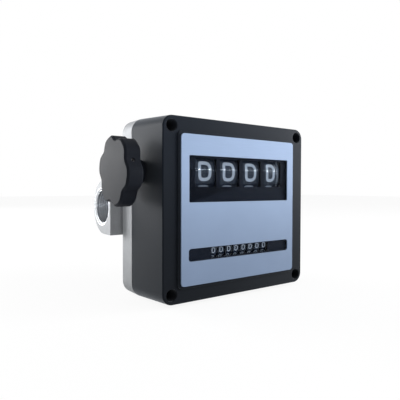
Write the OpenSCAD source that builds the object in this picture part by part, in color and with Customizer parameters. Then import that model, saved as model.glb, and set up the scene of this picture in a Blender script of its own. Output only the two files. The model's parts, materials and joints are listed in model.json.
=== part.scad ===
// In-line flow meter with a four-digit reset counter and an eight-digit totaliser.
// X runs along the pipe, to the right of the reader, Y away from the reader and Z up.
// The origin is the middle of the body flange's bottom face, which the meter stands on.

/* [Cover] */
// Width of the cover's front face
face_w = 156; // [150:1:170]
// Height of the cover's front face
face_h = 148; // [144:1:160]
// Depth of the cover as a share of the face's height
cover_d_share = 0.31757; // [0.314:0.0001:0.35]
// Corner radius of the front face
corner_r = 9; // [8:0.5:15]
// How much the cover grows on each side over its depth
cover_draft = 3; // [2:0.25:3.5]
// Wall thickness of the cover
cover_wall = 3.5; // [2.5:0.25:3.75]
// Rounding of the front face's edge
edge_r = 1; // [0.75:0.25:3.5]
// Height of the raised pad behind the label plate
pad_t = 1.5; // [1.25:0.25:2]
// Margin of the pad round the label plate
pad_margin = 2; // [1:0.25:2.5]
// Diameter of the four screw wells
well_d = 10; // [9.2:0.1:11]
// Distance of a well's centre from the face's edges
well_inset = 8; // [7.5:0.1:9]

/* [Label plate] */
// Height of the label plate as a share of the face's height
label_h_share = 0.8142; // [0.77:0.0001:0.84]
// Thickness of the label plate
label_t = 1; // [0.75:0.05:1.25]
// Corner radius of the label plate
label_r = 3; // [1:0.5:5]
// Reach of the large window past the digit wheels on each side
window_end = 6.6; // [5:0.1:8]
// Margin from the large window to the label plate's side
window_side = 7.4; // [6:0.1:9]
// Margin from the totaliser's window to the label plate's side
total_window_side = 6.9; // [6:0.1:12]
// Height of the large window as a share of the face's height
window_h_share = 0.25338; // [0.237:0.0001:0.27]
// Height of its centre above the face's centre, as a share of the face's height
window_z_share = 0.16723; // [0.162:0.0001:0.175]
// Height of the totaliser's window as a share of the face's height
total_window_h_share = 0.0696; // [0.061:0.0001:0.081]
// Depth of its centre below the face's centre, as a share of the face's height
total_window_z_share = 0.24324; // [0.237:0.0001:0.25]
// Corner radius of the large window
window_r = 1; // [0.5:0.25:2.5]
// Corner radius of the totaliser's window
total_window_r = 2.5; // [1:0.25:2.75]

/* [Body] */
// Thickness of the body flange
flange_t = 19.7; // [18.5:0.1:22]
// Thickness of the gasket between body and cover
gasket_t = 0.8; // [0.5:0.1:1.5]
// Wall thickness of the flange's rim
flange_wall = 7; // [5:0.5:8]
// Thickness of the wall between gear room and chamber room
bulkhead_t = 5.75; // [5:0.25:6]
// Outer radius of the drum that holds the measuring chamber
drum_r = 60; // [58.5:0.5:63]
// Wall thickness of the drum
drum_wall = 7; // [6:0.25:8]
// Thickness of the rear cover
rear_t = 8; // [6:0.5:10]
// Thickness of a standing rib under the drum
rib_t = 8; // [6:0.5:10]
// Distance of each standing rib from the middle
rib_x = 34; // [28:1:40]

/* [Ports] */
// Reach of each port face past the flange's side
port_reach = 10.3; // [7:0.1:14]
// Radius of a port's boss
boss_r = 24.7; // [22:0.1:26]
// Place of a boss's round back along the drum, as a share of the drum's depth
boss_y_share = 0.4; // [0.37:0.0001:0.42]
// Place of the port axis along the drum, as a share of the drum's depth
port_y_share = 0.532; // [0.5:0.0001:0.56]
// Minor radius of the one inch pipe thread
thread_minor_r = 15.15; // [13:0.05:17]
// Depth of one thread groove
thread_depth = 1.45; // [1:0.05:1.6]
// Pitch of the pipe thread
thread_pitch = 2.309; // [1.8:0.001:2.5]
// Depth of a threaded port
port_depth = 20; // [18:0.5:22]
// Radius of the passage from a port to the chamber
passage_r = 12; // [10:0.5:12.5]

/* [Measuring chamber] */
// Gap round the measuring chamber in the drum
chamber_gap = 2; // [1:0.25:3]
// Wall thickness of the measuring chamber at its middle
chamber_wall = 5; // [4:0.25:6.5]
// Depth of the measuring chamber as a share of its spherical wall's radius
chamber_d_share = 0.73913; // [0.7:0.0001:0.76]
// Thickness of the nutating disc
disc_t = 2.5; // [2:0.1:3]
// Radius of the disc's ball as a share of the spherical wall's radius
ball_share = 0.25435; // [0.24:0.0001:0.28]
// Tilt of the disc's pin
tilt = 12; // [11:0.25:12.5]
// Diameter of the disc's pin
pin_d = 4; // [3:0.25:4.5]
// Thickness of the septum plate
septum_t = 1.2; // [1:0.1:1.5]
// Width of the slot in the disc
slot_w = 4; // [3.6:0.1:5]

/* [Counter] */
// Radius of a digit wheel as a share of the face's height
wheel_r_share = 0.199324; // [0.196:0.0001:0.201]
// Width of a digit wheel as a share of the distance between two
wheel_w_share = 0.88; // [0.84:0.005:0.895]
// Height of the counter's shaft above the face's centre, as a share of the face's height
counter_z_share = 0.208108; // [0.206:0.0001:0.211]
// Diameter of the counter's shaft as a share of a digit wheel's radius
shaft_share = 0.27119; // [0.2:0.0001:0.28]
// Radius of a totaliser wheel as a share of the face's height
total_r_share = 0.070946; // [0.068:0.0001:0.073]
// Width of a totaliser wheel
total_w = 6.8; // [6.4:0.1:6.9]
// Distance between totaliser wheels
total_pitch = 8.2; // [8.1:0.05:8.5]
// Depth of the totaliser's shaft below the face's centre, as a share of the face's height
total_z_share = 0.229054; // [0.226:0.0001:0.232]
// Diameter of the totaliser's shaft
total_shaft_d = 4; // [3:0.25:5]
// Thickness of the counter's side plates
plate_t = 1.6; // [1.2:0.1:2]
// Diameter of the tie bars
tie_d = 5; // [4:0.25:5.5]

/* [Gears] */
// Module of the counter's drive gears as a share of a digit wheel's radius
drive_m_share = 0.027119; // [0.0264:0.0001:0.0275]
// Module of the first two reductions as a share of a digit wheel's radius
fine_m_share = 0.020339; // [0.02:0.0001:0.0207]
// Module of the bevel gears
bevel_m = 0.75; // [0.7:0.01:0.78]
// Module of the digit wheels' transfer gears as a share of a wheel's radius
carry_m_share = 0.077966; // [0.0773:0.0001:0.079]
// Module of the totaliser's transfer gears as a share of its wheel's radius
small_carry_m_share = 0.080952; // [0.08:0.0001:0.0829]
// Width of a gear
gear_w = 2; // [1.5:0.1:2.2]
// Diameter of the cross shaft
cross_d = 4; // [3:0.25:4.5]
// Diameter of the output shaft
output_d = 6; // [5:0.25:6.5]
// Diameter of the gear studs
stud_d = 3; // [2.5:0.1:3.2]

/* [Knob] */
// Radius of the knob over its lobes
knob_r = 28.6; // [25:0.1:29]
// Depth of the valleys between the lobes
valley_d = 4; // [3:0.25:6.5]
// Thickness of the knob
knob_t = 13.5; // [12:0.5:16]
// Length of the stem between the cover's side and the knob
stem_len = 12.34; // [10.5:0.01:16]
// Diameter of the knob's stem
stem_d = 18.5; // [16:0.25:20]
// Number of lobes
lobes = 6; // [5:1:8]

/* [Screws] */
// Diameter of the cover and rear cover screws
screw_d = 5; // [4:0.25:5.5]
// Diameter of their socket heads
head_d = 8.5; // [8:0.1:9]
// Height of their heads
head_h = 5; // [4:0.25:5.5]
// Diameter of the small screws in the gear room
small_screw_d = 3; // [2.5:0.1:3.5]

/* [Hidden] */
$fn = 96;

// Overrun of every cut
over = 0.5;
// Radial clearance of a shaft in its bore
run_gap = 0.05;
// Clearance of a fixed piece in its seat
seat_gap = 0.1;
// Clearance between pieces that move past each other
move_gap = 0.4;

// Digit and tooth counts
digit_count = 4;
total_count = 8;
pinion_teeth = 12;
first_teeth = 48;
second_teeth = 60;
counter_teeth = 72;
idler_teeth = 20;
total_teeth = 18;
bevel_teeth = 16;
ring_teeth = 20;
carry_teeth = 8;

// Depths, thicknesses and gaps inside
lens_t = 1.5;
mask_t = 0.8;
wheel_front_gap = 0.9;
apex_back = 15.25;
chamber_front_gap = 3.75;
chamber_play = 0.25;
spigot_d = 4;
disc_gap = 0.5;
layer_gap = 1;
layer_play = 0.5;
plate_gap = 2.5;
left_plate_gap = 1.5;
column_gap = 0.7;
column_wall = 3;
column_r = well_d / 2 + column_wall;

// Planes along Y
cover_d = face_h * cover_d_share;
mid_z = face_h / 2 + cover_draft;
part_y = -(flange_t + gasket_t) / 2;
front_y = part_y - cover_d;
flange_front = part_y + gasket_t;
flange_back = flange_front + flange_t;
floor_y = flange_back - bulkhead_t;
pad_y = front_y - pad_t;
label_y = pad_y - label_t;
inner_front_y = front_y + cover_wall;
lens_y = pad_y - label_t / 2;
mask_y = lens_y + lens_t;
seat_y = mask_y + mask_t;

// Corner centres shared by the cover, gasket and flange
corner_x = face_w / 2 - corner_r;
corner_z = face_h / 2 - corner_r;
back_r = corner_r + cover_draft;
well_x = face_w / 2 - well_inset;
well_z = face_h / 2 - well_inset;

// Layers of the gear train along X, from the right column of the cover inwards to the digit wheels
right_x = well_x - column_r - column_gap - plate_t;
layer_c = right_x - plate_gap - gear_w;
layer_b = layer_c - layer_gap - gear_w;
layer_a = layer_b - layer_gap - gear_w;
stack_x = layer_a - layer_play;
wheel_pitch = 2 * stack_x / (digit_count - 1 + wheel_w_share);
wheel_w = wheel_pitch * wheel_w_share;
left_x = -stack_x - left_plate_gap - plate_t;
total_stack_x = (total_count * total_pitch - (total_pitch - total_w)) / 2;

// Label plate and windows
window_w = 2 * (stack_x + window_end);
label_w = window_w + 2 * window_side;
total_window_w = label_w - 2 * total_window_side;
label_h = face_h * label_h_share;
window_h = face_h * window_h_share;
window_z = face_h * window_z_share;
total_window_h = face_h * total_window_h_share;
total_window_z = face_h * total_window_z_share;

// Wheels, shafts and modules that follow the face's height
wheel_r = face_h * wheel_r_share;
total_r = face_h * total_r_share;
counter_z = face_h * counter_z_share;
total_z = face_h * total_z_share;
shaft_d = wheel_r * shaft_share;
drive_m = wheel_r * drive_m_share;
fine_m = wheel_r * fine_m_share;
carry_m = wheel_r * carry_m_share;
small_carry_m = total_r * small_carry_m_share;

// Drum, measuring chamber and ports, from the drum inwards
drum_bore_r = drum_r - drum_wall;
chamber_r = drum_bore_r - chamber_gap;
sphere_r = chamber_r - chamber_wall;
disc_r = sphere_r - disc_gap;
ball_r = sphere_r * ball_share;
chamber_d = sphere_r * chamber_d_share;
drum_d = chamber_front_gap + chamber_d + chamber_play + spigot_d;
drum_y = flange_back + drum_d;
port_span = face_w + 2 * cover_draft + 2 * port_reach;
port_y = flange_back + drum_d * port_y_share;
boss_y = flange_back + drum_d * boss_y_share;

// Axes in the Y-Z plane, as [y, z]
counter_axis = [seat_y + wheel_front_gap + wheel_r, mid_z + counter_z];
total_axis = [seat_y + wheel_front_gap + total_r, mid_z - total_z];
cross_axis = [flange_back - apex_back, mid_z];

// Distance between the axes of two gears of one module
function centres(n, k, m) = (n + k) * m / 2;
// Direction from p to q in degrees
function bearing(p, q) = atan2(q[1] - p[1], q[0] - p[0]);
// Point at distance a from p and b from q, to the left or right of the line from p to q
function meet(p, q, a, b, side) =
    let (d = norm(q - p), s = (a * a - b * b + d * d) / (2 * d), h = sqrt(max(0, a * a - s * s)),
         u = (q - p) / d)
    p + s * u + side * h * [-u[1], u[0]];
// Angle of a tooth of the second gear that meshes with the first
function mesh_phase(beta, phase, n, k) = beta + 180 - 180 / k + (beta - phase) * n / k;

counter_c = centres(pinion_teeth, counter_teeth, drive_m);
first_c = centres(pinion_teeth, first_teeth, fine_m);
second_c = centres(pinion_teeth, second_teeth, fine_m);
branch_c = centres(pinion_teeth, first_teeth, drive_m);
idler_c = centres(pinion_teeth, idler_teeth, drive_m);
total_c = centres(idler_teeth, total_teeth, drive_m);
carry_c = centres(ring_teeth, carry_teeth, carry_m);
small_carry_c = centres(ring_teeth, carry_teeth, small_carry_m);
second_bearing = -100;
second_axis = counter_axis + counter_c * [cos(second_bearing), sin(second_bearing)];
first_axis = meet(cross_axis, second_axis, first_c, second_c, -1);
idler_fold = 3;
branch_reach = idler_c + total_c - idler_fold;
branch_axis = meet(second_axis, total_axis, branch_c, branch_reach, 1);
idler_axis = meet(branch_axis, total_axis, idler_c, total_c, 1);
carry_bearing = 60;
small_carry_bearing = -60;
carry_axis = counter_axis + carry_c * [cos(carry_bearing), sin(carry_bearing)];
small_carry_axis = total_axis + small_carry_c * [cos(small_carry_bearing), sin(small_carry_bearing)];

// Gear phases, followed through the train
cross_phase = 0;
first_phase = mesh_phase(bearing(cross_axis, first_axis), cross_phase, pinion_teeth, first_teeth);
second_phase = mesh_phase(bearing(first_axis, second_axis), first_phase, pinion_teeth, second_teeth);
counter_phase = mesh_phase(bearing(second_axis, counter_axis), second_phase, pinion_teeth, counter_teeth);
branch_phase = mesh_phase(bearing(second_axis, branch_axis), second_phase, pinion_teeth, first_teeth);
idler_phase = mesh_phase(bearing(branch_axis, idler_axis), branch_phase, pinion_teeth, idler_teeth);
total_phase = mesh_phase(bearing(idler_axis, total_axis), idler_phase, idler_teeth, total_teeth);
ring_phase = 0;
carry_phase = mesh_phase(carry_bearing, ring_phase, ring_teeth, carry_teeth);
small_carry_phase = mesh_phase(small_carry_bearing, ring_phase, ring_teeth, carry_teeth);

// Measuring chamber
chamber_y = flange_back + chamber_front_gap + chamber_d / 2;
chamber_front_y = chamber_y - chamber_d / 2;
cone_gap = 0.3;
cone_rise = disc_t / 2 / cos(tilt) + cone_gap;
ball_gap = 0.25;
crank_t = 2.8;
crank_r = 9;
crank_gap = 0.5;
crank_y = flange_back + crank_gap;
pin_sink_share = 0.1;
pin_start = ball_r / 2;
pin_end = (chamber_y - crank_y - crank_t * pin_sink_share) / cos(tilt) - pin_d / 2 * tan(tilt);
bevel_r = bevel_teeth * bevel_m / 2;
bevel_face = bevel_r / 2;

// Tooth form as shares of the module and of the pitch
tip_share = 0.7;
root_share = 1;
tooth_share = 0.4;
flank_tilt = 20;

// Rods that tie the side plates together, as [y, z]
tie_gap = 1.5;
top_tie_share = 0.83;
bottom_tie_share = 1.7;
tie_axes = [
    [floor_y - tie_d / 2 - tie_gap, branch_axis[1] + tie_d],
    [inner_front_y + tie_d, counter_axis[1] + wheel_r * top_tie_share],
    [cross_axis[0] - tie_d, total_axis[1] - total_r * bottom_tie_share],
];
carry_shaft_d = 3;
small_carry_shaft_d = 1.5;

// Side plates and their screw tabs
tab_w = 9;
tab_inset = 11.5;
plate_margin = 2;
plate_front_gap = 2;
plate_top_gap = 1;
plate_front = inner_front_y + plate_front_gap;
plate_bottom = min(total_axis[1] - total_r * 2, tie_axes[2][1] - tie_d - plate_margin);
plate_top = carry_axis[1] + carry_shaft_d + plate_top_gap;
tab_zs = [plate_bottom + tab_inset, plate_top - tab_inset];
tab_xs = [left_x - tab_w / 2, right_x + plate_t + tab_w / 2];

// Stem, bush and knob on the counter's shaft
cover_side_x = face_w / 2 + cover_draft * (counter_axis[0] - front_y) / cover_d;
stem_x = cover_side_x + stem_len;
knob_x = stem_x + knob_t;
bush_wall = 2;
bush_r = shaft_d / 2 + bush_wall;

// Children stand along X at x, round the axis p = [y, z]; their own x runs along Y
module along_x(x, p) translate([x, p[0], p[1]]) rotate([90, 0, 90]) children();

// Children stand along Y at y, round the axis p = [x, z]
module along_y(y, p) translate([p[0], y, p[1]]) rotate([-90, 0, 0]) children();

// Straight rod or ring
module tube(r, h, bore = 0) {
    difference() {
        cylinder(r = r, h = h);
        if (bore > 0) translate([0, 0, -over]) cylinder(r = bore, h = h + 2 * over);
    }
}

// Rectangle with round corners, about its centre
module round_rect(w, h, r) {
    square([w - 2 * r, h], center = true);
    square([w, h - 2 * r], center = true);
    for (x = [-1, 1], y = [-1, 1]) translate([x * (w / 2 - r), y * (h / 2 - r)]) circle(r = r);
}

// Flat plate seen from the front, from depth y with thickness t, about height z
module front_plate(w, h, r, y, t, z) {
    translate([0, y + t, z]) rotate([90, 0, 0]) linear_extrude(t) round_rect(w, h, r);
}

// Outline of a block's side, mirrored about its middle
function side_outline(prof, c) = concat(
    [for (p = prof) [c + p[0], p[1]]],
    [for (i = [len(prof) - 1:-1:0]) [-c - prof[i][0], prof[i][1]]]);

// Block with round corners round the Y axis, from a profile of [corner radius, y] points
module block(prof) {
    first = prof[0][1];
    last = prof[len(prof) - 1][1];
    translate([0, 0, mid_z]) {
        for (x = [-1, 1], z = [-1, 1])
            translate([x * corner_x, 0, z * corner_z]) rotate([-90, 0, 0])
                rotate_extrude() polygon(concat([[0, first]], prof, [[0, last]]));
        translate([0, 0, -corner_z]) linear_extrude(2 * corner_z) polygon(side_outline(prof, corner_x));
        rotate([0, -90, 0]) translate([0, 0, -corner_x])
            linear_extrude(2 * corner_x) polygon(side_outline(prof, corner_z));
    }
}

// Quarter round of radius e that starts at corner radius r and depth y
function round_edge(r, y, e) =
    [for (i = [0:4]) let (a = i * 90 / 4) [r - e + e * sin(a), y + e - e * cos(a)]];

// Children at the four screw wells
module at_wells() for (x = [-1, 1], z = [-1, 1]) along_y(0, [x * well_x, mid_z + z * well_z]) children();

// Outline of a gear with straight flanks
module gear_2d(teeth, m, phase = 0) {
    pitch_r = teeth * m / 2;
    tip_r = pitch_r + tip_share * m;
    root_r = pitch_r - root_share * m;
    function half(r) = (tooth_share * PI * m / 2 - (r - pitch_r) * tan(flank_tilt)) / r * 180 / PI;
    polygon([for (i = [0:teeth - 1], c = [[root_r, -1], [tip_r, -1], [tip_r, 1], [root_r, 1]])
        let (a = phase + i * 360 / teeth + c[1] * half(c[0])) c[0] * [cos(a), sin(a)]]);
}

// Spur gear of the given width
module gear(teeth, m, w, phase = 0) linear_extrude(w) gear_2d(teeth, m, phase);

// Bevel gear whose pitch cone has its apex at the origin
module bevel(phase) {
    translate([0, 0, bevel_r]) mirror([0, 0, 1])
        linear_extrude(bevel_face, scale = (bevel_r - bevel_face) / bevel_r)
            gear_2d(bevel_teeth, bevel_m, phase);
}

// Hexagon socket of a screw, as shares of its diameter and of its head's height
key_share = 0.46;
key_depth_share = 0.6;

// Socket head screw that hangs from its seat at the origin, with its shank along Z
module socket_screw(d, head, high, length) {
    difference() {
        union() {
            translate([0, 0, -high]) cylinder(r = head / 2, h = high);
            cylinder(r = d / 2, h = length);
        }
        translate([0, 0, -high - over])
            cylinder(r = d * key_share, h = high * key_depth_share + over, $fn = 6);
    }
}

// Metal casting

// Chamfer of the casting's outer edges
casting_edge = 1.5;

// Solid form of one port's boss, flat towards the front and round at the back
boss_gap = 2;
module port_bosses() {
    flat_y = flange_back + boss_gap;
    intersection() {
        translate([-port_span / 2, boss_y, mid_z]) rotate([0, 90, 0]) cylinder(r = boss_r, h = port_span);
        translate([-port_span, flat_y, 0]) cube([2 * port_span, 2 * boss_r, 2 * mid_z]);
    }
    translate([-port_span / 2, flat_y, mid_z - boss_r])
        cube([port_span, boss_y - flat_y, 2 * boss_r]);
}

// Thread grooves start this share of a pitch after a whole one, and are this wide at the wall and root.
// The last stretch of the bore is plain.
groove_start_share = 0.2;
groove_share = 0.8;
groove_root_share = 0.12;
thread_land = 6;
mouth_gap = 0.3;
grooves = floor((port_depth - thread_land) / thread_pitch - groove_start_share - groove_share / 2);

// Bore, chamfer and thread grooves of one port, cut inwards from its mouth at the origin
strainer_t = 1;
module port_cut() {
    mouth = thread_minor_r + thread_depth + mouth_gap;
    root_r = thread_minor_r + thread_depth;
    wide = thread_pitch * groove_share / 2;
    narrow = thread_pitch * groove_root_share / 2;
    translate([0, 0, -over]) cylinder(r = thread_minor_r, h = port_depth + over);
    translate([0, 0, -over])
        cylinder(r1 = mouth + over, r2 = mouth - thread_pitch / 2, h = thread_pitch / 2 + over);
    cylinder(r = passage_r,
        h = port_span / 2 - sqrt(drum_bore_r * drum_bore_r - passage_r * passage_r) + over * 4);
    translate([0, 0, port_depth]) cylinder(r = strainer_r, h = strainer_t + seat_gap);
    for (i = [1:grooves]) translate([0, 0, (i + groove_start_share) * thread_pitch])
        rotate_extrude() polygon([
            [thread_minor_r - over, -wide], [thread_minor_r, -wide], [root_r, -narrow],
            [root_r, narrow], [thread_minor_r, wide], [thread_minor_r - over, wide]]);
}

rear_screw_r = (drum_r + drum_bore_r) / 2;
rear_screw_share = 0.8;
rear_screw_d = screw_d * rear_screw_share;
rear_screw_grip = 10;
rear_screw_length = rear_t + rear_screw_grip;
rear_screws = 8;
module at_rear_screws() {
    for (i = [0:rear_screws - 1]) rotate([0, 0, (i + 0.5) * 360 / rear_screws])
        translate([rear_screw_r, 0, 0]) children();
}

post_r = 7;
post_depth = 14;
tab_screw_length = 5;
tab_screw_depth = 4;
bush_seat = 2;
shaft_seat_r = output_d / 2 + bush_seat;
bracket_gap = 1;
bracket_x = bevel_r + tip_share * bevel_m + bracket_gap;
bracket_t = 3;
bracket_foot = 9;
bracket_screw_x = -bracket_x - bracket_t - bracket_foot / 2;

module meter_body() color("silver") difference() {
    union() {
        difference() {
            block([[back_r, flange_front], [back_r, flange_back - casting_edge],
                   [back_r - casting_edge, flange_back]]);
            difference() {
                block([[back_r - flange_wall, flange_front - over], [back_r - flange_wall, floor_y]]);
                at_wells() translate([0, 0, flange_front - over]) cylinder(r = post_r, h = flange_t);
            }
        }
        difference() {
            union() {
                along_y(flange_back - over, [0, mid_z]) cylinder(r = drum_r, h = drum_d + over);
                port_bosses();
                for (x = [-1, 1]) translate([x * rib_x - rib_t / 2, flange_back - over, 0])
                    cube([rib_t, drum_d + over, mid_z - drum_bore_r / 2]);
            }
            along_y(flange_back, [0, mid_z]) cylinder(r = drum_bore_r, h = drum_d + over);
        }
    }
    translate([-port_span / 2, port_y, mid_z]) rotate([0, 90, 0]) port_cut();
    translate([port_span / 2, port_y, mid_z]) rotate([0, -90, 0]) port_cut();
    along_y(floor_y - over, [0, mid_z]) cylinder(r = shaft_seat_r, h = bulkhead_t + 2 * over);
    at_wells() translate([0, 0, flange_front - over]) cylinder(r = screw_d / 2, h = post_depth + over);
    along_y(drum_y, [0, mid_z]) {
        at_rear_screws() translate([0, 0, rear_t - rear_screw_length - over])
            cylinder(r = rear_screw_d / 2, h = rear_screw_length);
        // Keeps the ports' bosses off the rear cover
        cylinder(r = drum_r + move_gap, h = boss_r);
    }
    for (z = tab_zs, x = tab_xs)
        along_y(floor_y - over, [x, z]) cylinder(r = small_screw_d / 2, h = tab_screw_depth + over);
    along_y(floor_y - over, [bracket_screw_x, mid_z])
        cylinder(r = small_screw_d / 2, h = tab_screw_depth + over);
}

// Rear cover, with a shallow ring pressed into its back between two radii, as shares of the bore
seal_t = 2;
seal_in = 1;
ring_outer_share = 0.8;
ring_inner_share = 0.32;
ring_slope_share = 0.03;
ring_floor_share = 0.75;
rear_hole_gap = 0.25;
cover_fit = 0.2;
module rear_cover() color("silver") along_y(drum_y, [0, mid_z]) difference() {
    rotate_extrude() polygon([
        [0, -spigot_d], [drum_bore_r - cover_fit, -spigot_d], [drum_bore_r - cover_fit, 0],
        [drum_r, 0], [drum_r, rear_t - casting_edge], [drum_r - casting_edge, rear_t],
        [drum_bore_r * ring_outer_share, rear_t],
        [drum_bore_r * (ring_outer_share - ring_slope_share), rear_t * ring_floor_share],
        [drum_bore_r * (ring_inner_share + ring_slope_share), rear_t * ring_floor_share],
        [drum_bore_r * ring_inner_share, rear_t], [0, rear_t]]);
    at_rear_screws() translate([0, 0, -over])
        cylinder(r = rear_screw_d / 2 + rear_hole_gap, h = rear_t + 2 * over);
    translate([0, 0, -seal_t - seal_in]) difference() {
        cylinder(r = drum_bore_r, h = seal_t);
        translate([0, 0, -over]) cylinder(r = drum_bore_r - seal_t, h = seal_t + 2 * over);
    }
}

module rear_cover_seal() color("black") along_y(drum_y - seal_in - seal_t / 2, [0, mid_z])
    rotate_extrude() translate([drum_bore_r - seal_t / 2, 0]) circle(r = seal_t / 2 - seat_gap / 2, $fn = 32);

rear_head_share = 0.8;
rear_screw_end = 1;
module rear_cover_screws() color("dimgray") along_y(drum_y, [0, mid_z])
    at_rear_screws() translate([0, 0, rear_t]) mirror([0, 0, 1])
        socket_screw(rear_screw_d, head_d * rear_head_share, head_h * rear_head_share,
            rear_screw_length - rear_screw_end);

// Perforated disc in its seat behind the inlet's thread, with rings of six holes times the ring's number
strainer_rim = 1.5;
strainer_r = passage_r + strainer_rim;
strainer_rings = 3;
strainer_row_share = 0.28;
strainer_hole_share = 0.11;
module inlet_strainer() color("gainsboro")
    translate([-port_span / 2 + port_depth + seat_gap, port_y, mid_z]) rotate([0, 90, 0]) difference() {
        cylinder(r = strainer_r - seat_gap / 2, h = strainer_t);
        for (k = [0:strainer_rings], i = [0:max(0, 6 * k - 1)]) rotate([0, 0, i * 60 / max(1, k)])
            translate([k * passage_r * strainer_row_share, 0, -over])
                cylinder(r = passage_r * strainer_hole_share, h = strainer_t + 2 * over, $fn = 24);
    }

// Measuring chamber

// Space swept by the disc on one side of the chamber's middle plane
module half_room() {
    intersection() {
        sphere(r = sphere_r);
        rotate_extrude() polygon([[0, -over], [sphere_r + over, -over],
            [sphere_r + over, cone_rise + (sphere_r + over) * tan(tilt)], [0, cone_rise]]);
    }
    sphere(r = ball_r + ball_gap);
}

// Outline of the septum in its own plane, as [radius, depth]
septum_edge = 1.5;
septum_gap = 0.4;
septum_in = ball_r + ball_gap + septum_gap;
septum_out = sphere_r + septum_edge;
module septum_2d(gap) {
    function rise(r) = cone_rise + r * tan(tilt) + septum_edge + gap;
    polygon([[septum_in - gap, -rise(septum_in)], [septum_out + gap, -rise(septum_out)],
             [septum_out + gap, rise(septum_out)], [septum_in - gap, rise(septum_in)]]);
}

// Septum plate or the slot for it, standing up from the chamber's centre
module septum_solid(gap) translate([0, chamber_y, mid_z]) rotate([0, -90, 0])
    translate([0, 0, -septum_t / 2 - gap]) linear_extrude(septum_t + 2 * gap) septum_2d(gap);

// Inlet and outlet windows beside the septum
window_turn = 28;
window_len_share = 0.565;
window_in_share = 0.13;
module chamber_windows() {
    window_len = sphere_r * window_len_share;
    window_in = sphere_r * window_in_share;
    for (s = [-1, 1]) along_y(chamber_y, [0, mid_z]) rotate([0, 0, -90 + s * window_turn])
        translate([sphere_r - window_in, -window_len / 2, -chamber_d / 4])
            cube([chamber_r - sphere_r + 2 * window_in, window_len, chamber_d / 2]);
}

// Opening in the front half for the disc's pin, as a share of the ball's radius
pin_opening_share = 0.62;

// One half of the chamber; side is -1 for the front half and 1 for the rear one
module chamber_half(side) difference() {
    along_y(chamber_y, [0, mid_z]) mirror([0, 0, side < 0 ? 1 : 0]) difference() {
        cylinder(r = chamber_r, h = chamber_d / 2);
        half_room();
        if (side < 0) cylinder(r = ball_r * pin_opening_share, h = chamber_d);
    }
    septum_solid(seat_gap);
    chamber_windows();
}
module chamber_front() color("gray") chamber_half(-1);
module chamber_rear() color("gray") chamber_half(1);
module septum_plate() color("gainsboro") septum_solid(0);

// Frame of the disc, whose axis leans towards +X and faces the reader
module disc_frame() translate([0, chamber_y, mid_z]) rotate([0, 0, tilt]) rotate([90, 0, 0]) children();

module nutating_disc() color("darkslategray") disc_frame() difference() {
    union() {
        intersection() {
            translate([0, 0, -disc_t / 2]) cylinder(r = disc_r, h = disc_t);
            sphere(r = disc_r);
        }
        sphere(r = ball_r);
    }
    translate([-slot_w / 2, ball_r, -disc_t]) cube([slot_w, disc_r, 2 * disc_t]);
    translate([0, 0, pin_start]) cylinder(r = pin_d / 2, h = ball_r);
}

module disc_pin() color("gainsboro") disc_frame()
    translate([0, 0, pin_start]) cylinder(r = pin_d / 2, h = pin_end - pin_start);

// Drive from the disc to the counter

shaft_end_gap = 0.8;
module drive_crank() color("goldenrod") difference() {
    union() {
        along_y(crank_y, [0, mid_z]) cylinder(r = crank_r, h = crank_t);
        along_y(cross_axis[0] + cross_d / 2 + shaft_end_gap, [0, mid_z])
            cylinder(r = output_d / 2, h = crank_y - cross_axis[0] - cross_d / 2);
    }
    disc_frame() cylinder(r = pin_d / 2 + run_gap, h = chamber_d);
}

bevel_hub = 3;
bevel_hub_share = 0.8;
module crank_bevel() color("ivory") along_y(cross_axis[0], [0, mid_z]) difference() {
    union() {
        bevel(0);
        translate([0, 0, bevel_r]) cylinder(r = bevel_r * bevel_hub_share, h = bevel_hub);
    }
    cylinder(r = output_d / 2, h = bevel_r + bevel_hub + over);
}

bush_share = 0.55;
bush_t = bulkhead_t * bush_share;
module shaft_bush() color("peru") along_y(floor_y, [0, mid_z])
    tube(shaft_seat_r, bush_t, output_d / 2 + run_gap);
module shaft_seal() color("black")
    along_y(floor_y + bush_t, [0, mid_z]) tube(shaft_seat_r, bulkhead_t - bush_t, output_d / 2 + run_gap);

module cross_shaft() color("gainsboro") {
    along_x(-bracket_x - bracket_t, cross_axis)
        cylinder(r = cross_d / 2, h = bracket_x + bracket_t + right_x + plate_t);
}

module cross_bevel() color("ivory") {
    difference() {
        union() {
            along_x(0, cross_axis) bevel(180 / bevel_teeth);
            along_x(bevel_r, cross_axis) cylinder(r = bevel_r * bevel_hub_share, h = bevel_hub);
        }
        along_x(0, cross_axis) cylinder(r = cross_d / 2, h = bevel_r + bevel_hub + over);
    }
    along_x(layer_c, cross_axis) difference() {
        gear(pinion_teeth, fine_m, gear_w, cross_phase);
        translate([0, 0, -over]) cylinder(r = cross_d / 2, h = gear_w + 2 * over);
    }
}

// Bracket that carries the cross shaft's inner end
bracket_h = 12;
module cross_shaft_bracket() color("gray") difference() {
    union() {
        translate([-bracket_x - bracket_t, cross_axis[0] - bracket_h / 3, mid_z - bracket_h / 2])
            cube([bracket_t, floor_y - cross_axis[0] + bracket_h / 3, bracket_h]);
        translate([-bracket_x - bracket_t - bracket_foot, floor_y - plate_t, mid_z - bracket_h / 2])
            cube([bracket_foot + bracket_t, plate_t, bracket_h]);
    }
    along_x(-bracket_x - bracket_t - over, cross_axis)
        cylinder(r = cross_d / 2 + run_gap, h = bracket_t + 2 * over);
    along_y(floor_y - plate_t - over, [bracket_screw_x, mid_z])
        cylinder(r = small_screw_d / 2 + seat_gap, h = plate_t + 2 * over);
}

gear_hub_wall = 0.9;

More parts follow.
